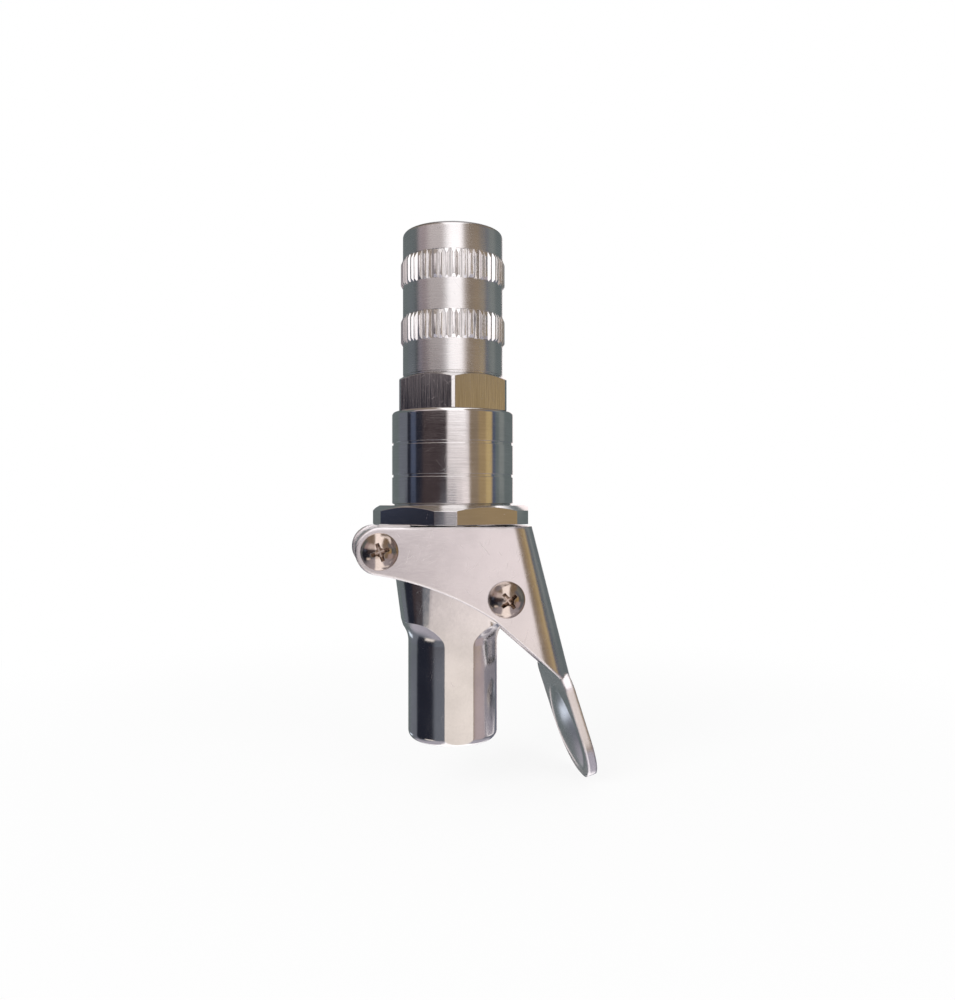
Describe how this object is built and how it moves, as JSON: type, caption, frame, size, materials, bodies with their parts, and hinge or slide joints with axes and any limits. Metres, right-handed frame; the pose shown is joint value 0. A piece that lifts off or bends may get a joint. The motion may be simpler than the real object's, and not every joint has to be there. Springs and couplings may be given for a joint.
{
  "type": "grease coupler",
  "caption": "Quick-release grease coupler: knurled nose sleeve with gripping jaws over a sprung slider, lifted by a folded squeeze lever on a threaded inlet body.",
  "frame": {"origin": "centre of the inlet end face, on the coupler's axis", "axes": "+Z along the coupler's axis towards the nose's mouth; +X towards the lever's thumb tongue; the lever's screws lie along Y"},
  "size_m": [0.0384, 0.0258, 0.0871],
  "materials": {
    "polished_body": "bright nickel plated steel, fine polishing lines",
    "turned_nose": "satin turned, nickel plated",
    "satin_lever": "satin zinc plated sheet with fine scratches",
    "screw": "bright nickel, warm",
    "steel": "turned steel",
    "jaw_steel": "hardened steel, blackened",
    "spring_steel": "drawn wire",
    "seal_rubber": "matte nitrile rubber"
  },
  "bodies": {
    "body": {"inlet_body": "polished_body", "stem": "steel", "stem_head": "steel", "jaw_washer": "steel", "spring_washer": "steel", "retaining_ring": "spring_steel", "stem_seal_ring": "seal_rubber", "check_seat": "steel", "check_spring": "spring_steel", "main_spring": "spring_steel", "plunger_spring": "spring_steel", "jaw_spreader_ring": "spring_steel", "fulcrum_screw_front": "screw", "fulcrum_screw_back": "screw"},
    "slider": {"slider_yoke": "polished_body", "spring_housing": "polished_body", "nose_sleeve": "turned_nose"},
    "lever": {"lever": "satin_lever", "link_bush": "steel", "link_screw_front": "screw", "link_screw_back": "screw"},
    "plunger": {"seal_plunger": "steel", "nose_seal": "seal_rubber"},
    "ball": {"check_ball": "steel"},
    "jaw_1": {"jaw_1": "jaw_steel"},
    "jaw_2": {"jaw_2": "jaw_steel"},
    "jaw_3": {"jaw_3": "jaw_steel"},
    "jaw_4": {"jaw_4": "jaw_steel"}
  },
  "joints": [
    {"name": "lever_squeeze", "type": "hinge", "parent": "body", "child": "lever", "pos_m": [0.007, 0, 0.0226], "axis": [0, 1, 0], "range_deg": [0, 10], "stiffness_Nm_per_rad": 1.2, "springref_deg": -45.84},
    {"name": "slider_lift", "type": "slide", "parent": "body", "child": "slider", "axis": [0, 0, 1], "range_m": [0, 0.00323], "deforming": ["main_spring"]},
    {"name": "plunger_press", "type": "slide", "parent": "body", "child": "plunger", "axis": [0, 0, -1], "range_m": [0, 0.0028], "stiffness_N_per_m": 200, "springref_m": -0.004, "deforming": ["plunger_spring"]},
    {"name": "check_lift", "type": "slide", "parent": "body", "child": "ball", "axis": [0, 0, 1], "range_m": [0, 0.0008], "stiffness_N_per_m": 30, "springref_m": -0.002, "deforming": ["check_spring"]},
    {"name": "jaw_1_spread", "type": "slide", "parent": "body", "child": "jaw_1", "axis": [1, 0, 0], "range_m": [0, 0.00081]},
    {"name": "jaw_2_spread", "type": "slide", "parent": "body", "child": "jaw_2", "axis": [0, 1, 0], "range_m": [0, 0.00081]},
    {"name": "jaw_3_spread", "type": "slide", "parent": "body", "child": "jaw_3", "axis": [-1, 0, 0], "range_m": [0, 0.00081]},
    {"name": "jaw_4_spread", "type": "slide", "parent": "body", "child": "jaw_4", "axis": [0, -1, 0], "range_m": [0, 0.00081]}
  ],
  "couplings": [
    {"joint": "slider_lift", "follows": "lever_squeeze", "m_per_rad": 0.01845},
    {"joint": "jaw_1_spread", "follows": "lever_squeeze", "m_per_rad": 0.004584},
    {"joint": "jaw_2_spread", "follows": "lever_squeeze", "m_per_rad": 0.004584},
    {"joint": "jaw_3_spread", "follows": "lever_squeeze", "m_per_rad": 0.004584},
    {"joint": "jaw_4_spread", "follows": "lever_squeeze", "m_per_rad": 0.004584}
  ]
}
